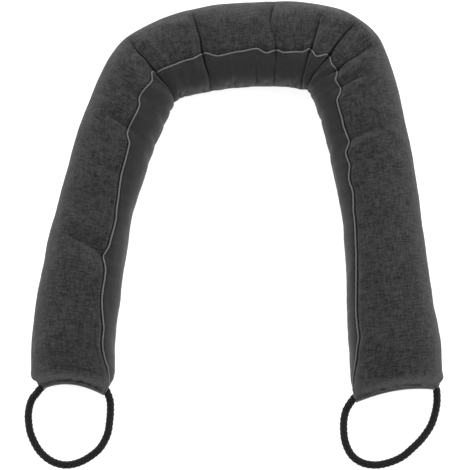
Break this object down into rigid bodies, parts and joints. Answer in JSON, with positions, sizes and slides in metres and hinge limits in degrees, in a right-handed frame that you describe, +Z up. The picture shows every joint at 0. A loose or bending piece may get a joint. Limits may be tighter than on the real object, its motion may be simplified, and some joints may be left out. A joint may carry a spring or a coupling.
{
  "type": "draught excluder",
  "caption": "Long stuffed fabric roll with piping and a rope loop at each end, bent into a U and lying flat.",
  "frame": {"origin": "on the resting surface, below the middle of the roll's own box, loops left out", "axes": "+Z up, +Y from the open side of the U to its bend, +X to the right seen from the open side"},
  "size_m": [0.369, 0.4263, 0.0587],
  "materials": {
    "face_cloth": "dark grey linen-look weave, matt",
    "back_cloth": "dark grey plain close weave, matt",
    "piping_cloth": "mid grey covered cord, matt",
    "rope_yarn": "black braided cord, matt"
  },
  "bodies": {
    "root": {"filled_roll": "face_cloth", "back_panel": "back_cloth", "piping": "piping_cloth", "loop_left": "rope_yarn", "loop_right": "rope_yarn"}
  },
  "joints": []
}
